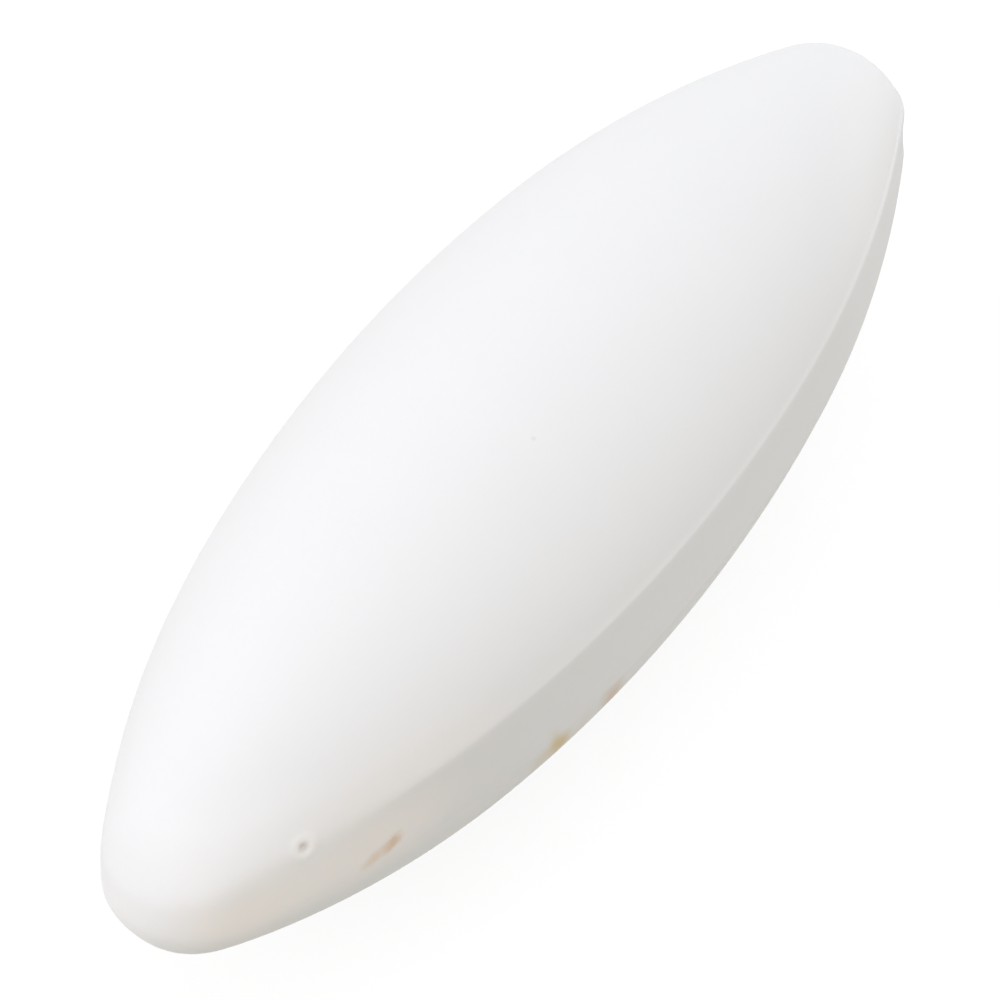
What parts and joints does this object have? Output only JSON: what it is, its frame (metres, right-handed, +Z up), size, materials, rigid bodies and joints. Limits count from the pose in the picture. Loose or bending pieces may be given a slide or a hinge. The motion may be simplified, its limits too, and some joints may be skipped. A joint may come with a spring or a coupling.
{
  "type": "magnetic stir bar",
  "caption": "Oval laboratory stirring bar: a rod magnet sealed in a smooth white fluoropolymer jacket with an upright belt round its parting plane.",
  "frame": {"origin": "centre of the bar, where the long axis meets the parting plane at mid-length", "axes": "+X along the bar, +Y across it in the parting plane, +Z up, square to the parting plane"},
  "size_m": [0.064, 0.0196, 0.02],
  "materials": {
    "white_ptfe": "satin white sintered PTFE, slightly translucent, with a few small stains and one pit from use",
    "cast_alnico": "bare cast and ground magnet alloy, dull grey, sealed inside the jacket"
  },
  "bodies": {
    "root": {"ptfe_jacket": "white_ptfe", "bar_magnet": "cast_alnico"}
  },
  "joints": []
}
